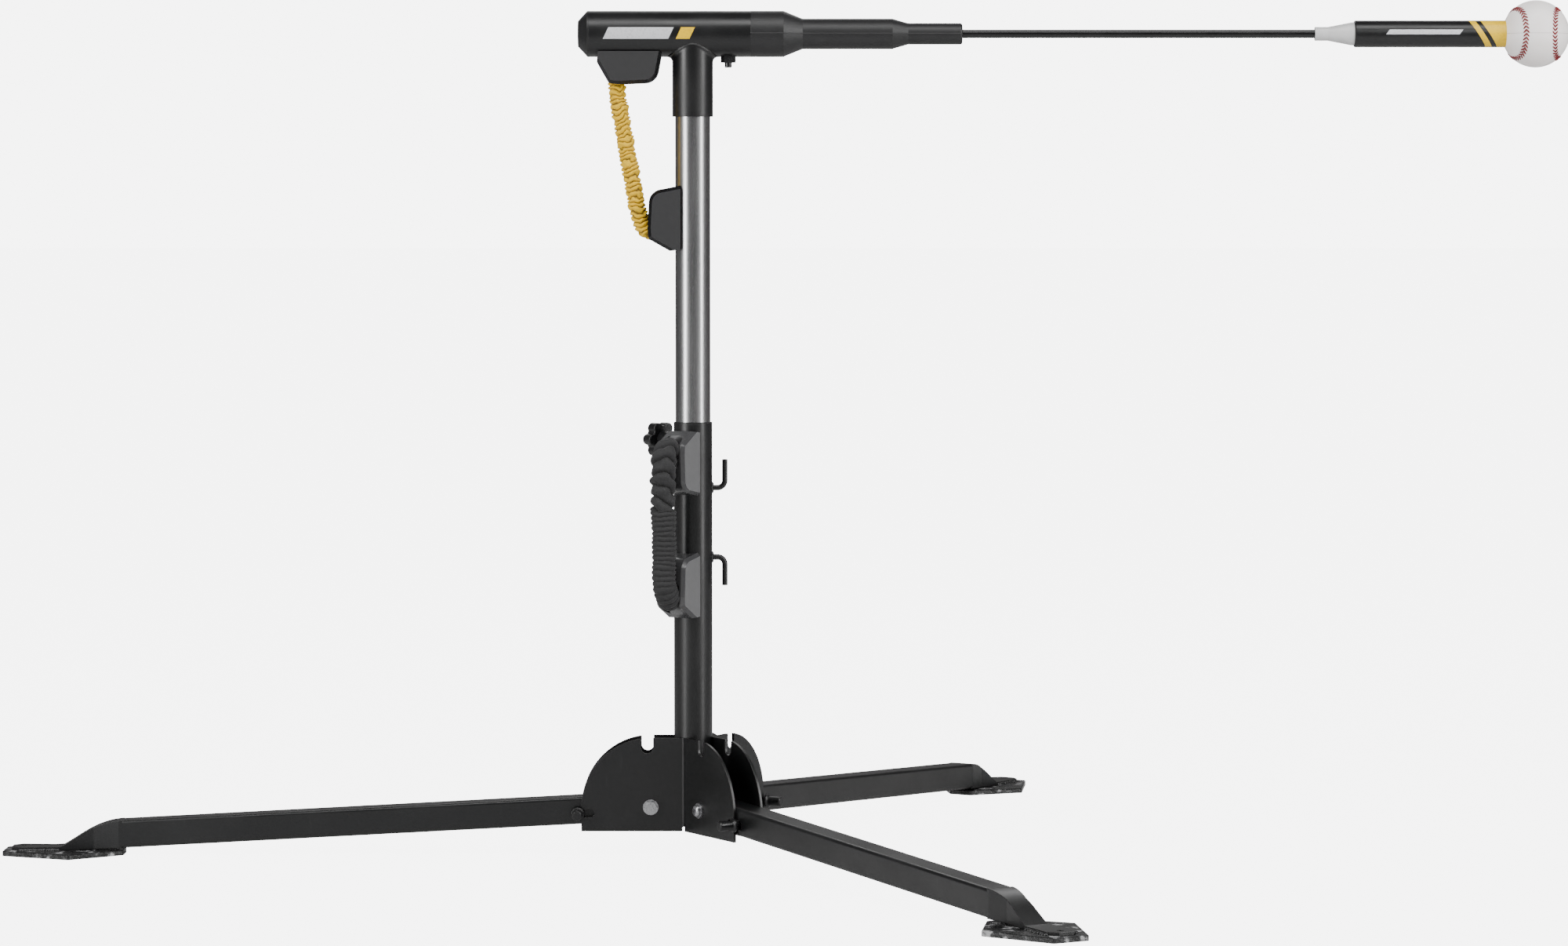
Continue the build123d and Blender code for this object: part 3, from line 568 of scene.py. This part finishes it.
# repeated details along a line: stitches and weld ripples
def repeatTree(name, lean):
    tree = bpy.data.node_groups.new(name, "GeometryNodeTree")
    face = tree.interface
    face.new_socket("Geometry", in_out="INPUT", socket_type="NodeSocketGeometry")
    sizes = {"Spacing": 0.003, "Width": 0.002, "Height": 0.001, "Length": 0.002, "Jitter": 0.0}
    for label, value in sizes.items():
        socket = face.new_socket(label, in_out="INPUT", socket_type="NodeSocketFloat")
        socket.default_value = value
    face.new_socket("Coat", in_out="INPUT", socket_type="NodeSocketMaterial")
    centreSocket = face.new_socket("Centre", in_out="INPUT", socket_type="NodeSocketVector")
    centreSocket.default_value = (0, 0, 0)
    face.new_socket("Geometry", in_out="OUTPUT", socket_type="NodeSocketGeometry")
    given = addNode(tree, "NodeGroupInput")
    path = addNode(tree, "GeometryNodeMeshToCurve", links={"Mesh": given.outputs["Geometry"]})
    points = addNode(tree, "GeometryNodeResampleCurve", links={"Curve": path.outputs["Curve"]})
    modeSocket = points.inputs.get("Mode")
    if modeSocket is not None:
        modeSocket.default_value = "Length"
    else:
        points.mode = "LENGTH"
    tree.links.new(given.outputs["Spacing"], points.inputs["Length"])
    here = addNode(tree, "GeometryNodeInputPosition").outputs[0]
    tangent = addNode(tree, "GeometryNodeInputTangent").outputs[0]
    outward = addNode(
        tree, "ShaderNodeVectorMath", {"operation": "SUBTRACT"}, links={0: here, 1: given.outputs["Centre"]}
    ).outputs[0]
    first = addNode(tree, "FunctionNodeAlignEulerToVector", {"axis": "X"}, links={"Vector": tangent})
    second = addNode(
        tree, "FunctionNodeAlignEulerToVector", {"axis": "Z", "pivot_axis": "X"},
        links={"Rotation": first.outputs[0], "Vector": outward},
    )
    bead = addNode(tree, "GeometryNodeMeshIcoSphere", inputs={"Radius": 1.0, "Subdivisions": 2})
    size = addNode(
        tree, "ShaderNodeCombineXYZ",
        links={"X": given.outputs["Length"], "Y": given.outputs["Width"], "Z": given.outputs["Height"]},
    ).outputs[0]
    jitter = {1: given.outputs["Jitter"]}
    low = addNode(tree, "ShaderNodeMath", {"operation": "SUBTRACT"}, {0: 1.0}, jitter).outputs[0]
    high = addNode(tree, "ShaderNodeMath", {"operation": "ADD"}, {0: 1.0}, jitter).outputs[0]
    vary = addNode(tree, "FunctionNodeRandomValue", {"data_type": "FLOAT"}, {"Seed": 11})
    tree.links.new(low, [s for s in vary.inputs if s.name == "Min" and s.type == "VALUE"][0])
    tree.links.new(high, [s for s in vary.inputs if s.name == "Max" and s.type == "VALUE"][0])
    scaled = addNode(
        tree, "ShaderNodeVectorMath", {"operation": "SCALE"},
        links={0: size, "Scale": [s for s in vary.outputs if s.type == "VALUE"][0]},
    ).outputs[0]
    turned = addNode(
        tree, "FunctionNodeRotateEuler", {"space": "LOCAL"},
        {"Rotate By": (0, 0, lean)}, {"Rotation": second.outputs[0]},
    )
    copies = addNode(
        tree, "GeometryNodeInstanceOnPoints",
        links={
            "Points": points.outputs["Curve"], "Instance": bead.outputs["Mesh"],
            "Rotation": turned.outputs[0], "Scale": scaled,
        },
    )
    real = addNode(tree, "GeometryNodeRealizeInstances", links={0: copies.outputs[0]})
    smooth = addNode(tree, "GeometryNodeSetShadeSmooth", links={0: real.outputs[0]})
    coated = addNode(
        tree, "GeometryNodeSetMaterial",
        links={"Geometry": smooth.outputs[0], "Material": given.outputs["Coat"]},
    )
    addNode(tree, "NodeGroupOutput", links={0: coated.outputs[0]})
    return tree


def repeatAlong(name, tree, points, closed, values, paint, centre, body):
    mesh = bpy.data.meshes.new(name + "Path")
    edges = [(i, i + 1) for i in range(len(points) - 1)] + ([(len(points) - 1, 0)] if closed else [])
    mesh.from_pydata([tuple(p) for p in points], edges, [])
    holder = bpy.data.objects.new(name + "Path", mesh)
    scene.collection.objects.link(holder)
    modifier = holder.modifiers.new("repeat", "NODES")
    modifier.node_group = tree
    sockets = {item.name: item.identifier for item in tree.interface.items_tree if item.in_out == "INPUT"}
    for label, value in values.items():
        modifier[sockets[label]] = value
    modifier[sockets["Centre"]] = tuple(float(c) for c in centre)
    modifier[sockets["Coat"]] = paints[paint]
    bpy.context.view_layer.update()
    result = bpy.data.meshes.new_from_object(holder.evaluated_get(bpy.context.evaluated_depsgraph_get()))
    bpy.data.objects.remove(holder)
    piece = bpy.data.objects.new(name, result)
    result.name = name
    scene.collection.objects.link(piece)
    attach(piece, body)
    return piece


rippleTree = repeatTree("weldRipples", 0.0)
weldPlan = {"Spacing": 0.0013, "Width": 0.0020, "Height": 0.0013, "Length": 0.0014, "Jitter": 0.14}
weldPlace = {
    "radius": 0.0212,
    "columnRadius": 0.021,
    "hookHeights": {"upperHookWeld": 0.403, "lowerHookWeld": 0.327},
    "hookRadius": 0.0042,
    "bossHeight": 0.454,
    "bossAzimuth": 130,
    "bossRadius": 0.0098,
}


def ringPoints(centre, normal, radius, count=48):
    axis = Vector(normal).normalized()
    one = axis.orthogonal().normalized()
    two = axis.cross(one)
    return [
        Vector(centre) + (one * math.cos(a) + two * math.sin(a)) * radius
        for a in (2 * math.pi * i / count for i in range(count))
    ]


for label, height in weldPlace["hookHeights"].items():
    ring = ringPoints((columnX + weldPlace["columnRadius"], 0, height), (1, 0, 0), weldPlace["hookRadius"])
    ring = [Vector((columnX + math.sqrt(weldPlace["radius"] ** 2 - p.y ** 2), p.y, p.z)) for p in ring]
    repeatAlong(label, rippleTree, ring, True, weldPlan, "weld", (columnX, 0, height), "base")

bossTurn = math.radians(weldPlace["bossAzimuth"])
clampTurn = Vector((math.cos(bossTurn), math.sin(bossTurn), 0))
bossMiddle = Vector((columnX, 0, weldPlace["bossHeight"]))
bossRing = []
for p in ringPoints(bossMiddle, clampTurn, weldPlace["bossRadius"]):
    offset = p - bossMiddle
    sideStep = offset.x * -clampTurn.y + offset.y * clampTurn.x
    bossRing.append(p + clampTurn * math.sqrt(weldPlace["radius"] ** 2 - sideStep ** 2))
repeatAlong("bossWeld", rippleTree, bossRing, True, weldPlan, "weld", bossMiddle, "base")

# welds along both edges of each flattened leg end
toePlan = {
    "start": 0.697,
    "end": 0.738,
    "startHalf": 0.0136,
    "endHalf": 0.0172,
    "height": 0.0058,
    "centreReach": 0.717,
    "centreHeight": -0.2,
    "points": 12,
}
toeWeld = dict(weldPlan, Width=0.0024, Height=0.0022, Length=0.002, Spacing=0.0018, Jitter=0.25)
for side, turn in legAzimuths.items():
    out = Vector((math.cos(math.radians(turn)), math.sin(math.radians(turn)), 0))
    across = Vector((-out.y, out.x, 0))
    for sign, label in ((1, "A"), (-1, "B")):
        row = []
        for i in range(toePlan["points"]):
            f = i / (toePlan["points"] - 1)
            reach = toePlan["start"] + f * (toePlan["end"] - toePlan["start"])
            half = toePlan["startHalf"] + f * (toePlan["endHalf"] - toePlan["startHalf"])
            row.append(Vector((columnX, 0, toePlan["height"])) + out * reach + across * half * sign)
        middle = Vector((columnX, 0, toePlan["centreHeight"])) + out * toePlan["centreReach"]
        name = "toeWeld" + side.capitalize() + label
        repeatAlong(name, rippleTree, row, False, toeWeld, "weld", middle, "leg_" + side)
print("welds placed")

# ball: cover with its seam grooves, then the stitches on them
ballPlan = {
    "waist": 0.44,
    "turn": 1.2,
    "groove": 0.0005,
    "grooveWidth": 0.0011,
    "radius": 0.0365,
    "seamPoints": 480,
    "seamApart": 0.0015,
    "stitchLean": 0.75,
}
ballRadius = ballPlan["radius"]
ballCentre = Vector((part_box("ball")[1][0] - ballRadius, 0, armHeight))


def seamPoint(t):
    a = ballPlan["waist"]
    theta = math.pi / 2 - (math.pi / 2 - a) * math.cos(t)
    phi = t / 2 + a * math.sin(2 * t)
    x, y, z = math.sin(theta) * math.cos(phi), math.sin(theta) * math.sin(phi), math.cos(theta)
    # waist to the front, then turned towards the right
    w = math.radians(ballPlan["turn"])
    return Vector((x * math.cos(w) + z * math.sin(w), x * math.sin(w) - z * math.cos(w), y))


seam = [seamPoint(4 * math.pi * i / ballPlan["seamPoints"]) for i in range(ballPlan["seamPoints"])]
shell = bmesh.new()
bmesh.ops.create_icosphere(shell, subdivisions=7, radius=1.0)
seamArray = np.array([p[:] for p in seam])
for vert in shell.verts:
    direction = vert.co.normalized()
    near = float(np.max(seamArray @ np.array(direction[:])))
    gap = math.acos(min(1, near)) * ballRadius
    dip = ballPlan["groove"] * math.exp(-(gap / ballPlan["grooveWidth"]) ** 2)
    vert.co = ballCentre + direction * (ballRadius - dip)
ballMesh = bpy.data.meshes.new("ballCover")
shell.to_mesh(ballMesh)
shell.free()
ballMesh.materials.append(paints["ball"])
ballMesh.shade_smooth()
ballCover = bpy.data.objects.new("ballCover", ballMesh)
scene.collection.objects.link(ballCover)
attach(ballCover, "head")
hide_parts("ball")

stitchPlan = {"Spacing": 0.0042, "Width": 0.00092, "Height": 0.0008, "Length": 0.0029, "Jitter": 0.06}
for label, sign in (("stitchesOuter", 1), ("stitchesInner", -1)):
    row = []
    for i, p in enumerate(seam):
        ahead = seam[(i + 1) % len(seam)] - seam[i - 1]
        sideways = p.cross(ahead).normalized()
        beside = (p * ballRadius * 0.9995 + sideways * sign * ballPlan["seamApart"]).normalized()
        row.append(ballCentre + beside * ballRadius * 1.0002)
    lean = repeatTree("leaning" + label, ballPlan["stitchLean"] * sign)
    repeatAlong(label, lean, row, True, stitchPlan, "thread", ballCentre, "head")
print("ball stitched")


# printed bars on the head and the ball sleeve
def printedPatch(name, radius, top, bottom, angles, paint, back=False, steps=(14, 12)):
    verts, faces = [], []
    for i in range(steps[0] + 1):
        f = i / steps[0]
        a = math.radians(angles[0] + f * (angles[1] - angles[0]))
        high, low = math.sin(math.radians(angles[0])), math.sin(math.radians(angles[1]))
        down = (high - math.sin(a)) / (high - low)
        left = top[0] + down * (bottom[0] - top[0])
        right = top[1] + down * (bottom[1] - top[1])
        for j in range(steps[1] + 1):
            x = left + (right - left) * j / steps[1]
            y = -radius * math.cos(a) * (-1 if back else 1)
            verts.append((columnX + x, y, armHeight + radius * math.sin(a)))
    wide = steps[1] + 1
    for i in range(steps[0]):
        for j in range(steps[1]):
            quad = (i * wide + j, (i + 1) * wide + j, (i + 1) * wide + j + 1, i * wide + j + 1)
            faces.append(quad if not back else quad[::-1])
    return addPiece(name, verts, faces, paint, "head")


headPrint = {
    "radius": 0.02512,
    "angles": (15, -14),
    "barTop": (-0.091, -0.020),
    "barBottom": (-0.097, -0.026),
    "markTop": (-0.012, 0.003),
    "markBottom": (-0.018, -0.003),
}
sleevePrint = {
    "radius": 0.01468,
    "angles": (78, -78),
    "blockTop": (0.857, 0.886),
    "blockBottom": (0.876, 0.886),
    "stripeTop": (0.8445, 0.8515),
    "stripeBottom": (0.8635, 0.8705),
    "barTop": (0.758, 0.838),
    "barBottom": (0.754, 0.834),
    "barAngles": (17, -4),
}


def printedBar(name, plan, part, paint, angles="angles", **more):
    printedPatch(name, plan["radius"], plan[part + "Top"], plan[part + "Bottom"], plan[angles], paint, **more)


printedBar("headSilverBar", headPrint, "bar", "silverInk")
printedBar("headYellowBar", headPrint, "mark", "yellowInk")
for back, tail in ((False, "Front"), (True, "Back")):
    printedBar("sleeveBlock" + tail, sleevePrint, "block", "yellowInk", back=back, steps=(28, 12))
    printedBar("sleeveStripe" + tail, sleevePrint, "stripe", "yellowInk", back=back, steps=(28, 4))
printedBar("sleeveSilverBar", sleevePrint, "bar", "silverInk", "barAngles")
print("printed bars on the head and sleeve")
